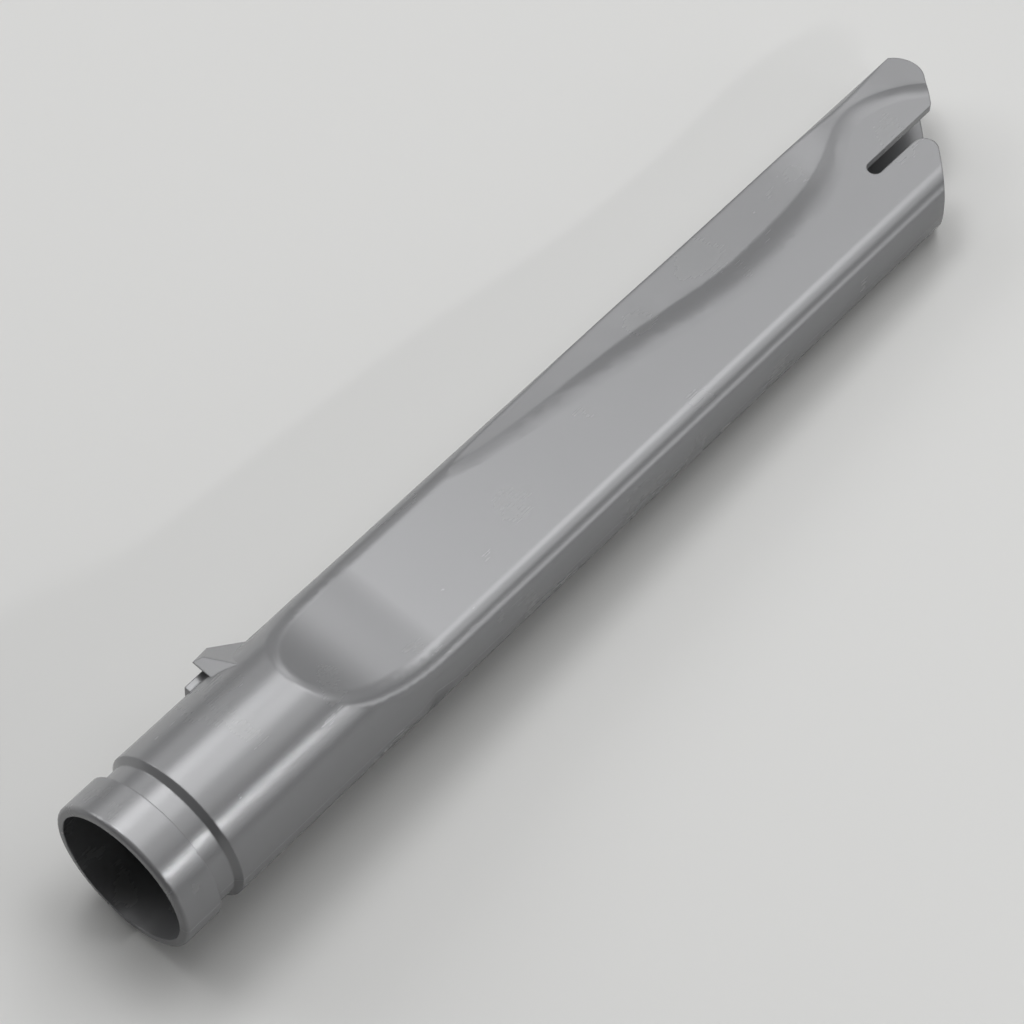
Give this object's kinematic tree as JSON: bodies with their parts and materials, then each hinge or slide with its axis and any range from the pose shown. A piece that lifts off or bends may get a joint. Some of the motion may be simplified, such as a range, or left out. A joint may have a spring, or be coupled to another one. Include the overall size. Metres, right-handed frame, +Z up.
{
  "type": "vacuum crevice nozzle",
  "caption": "Long flat moulded nozzle with a round collared spigot, a side catch, a wavy edge relief and a slanted, slotted end for vacuuming gaps.",
  "frame": {"origin": "middle of the underside, on the surface it lies on", "axes": "+X from the mouth to the slanted tip, +Y towards the side with the catch and the scallop, +Z up"},
  "size_m": [0.2512, 0.0384, 0.0371],
  "materials": {
    "nozzle_body": "satin iron grey with a metallic sheen"
  },
  "bodies": {
    "root": {"nozzle_body": "nozzle_body"}
  },
  "joints": []
}
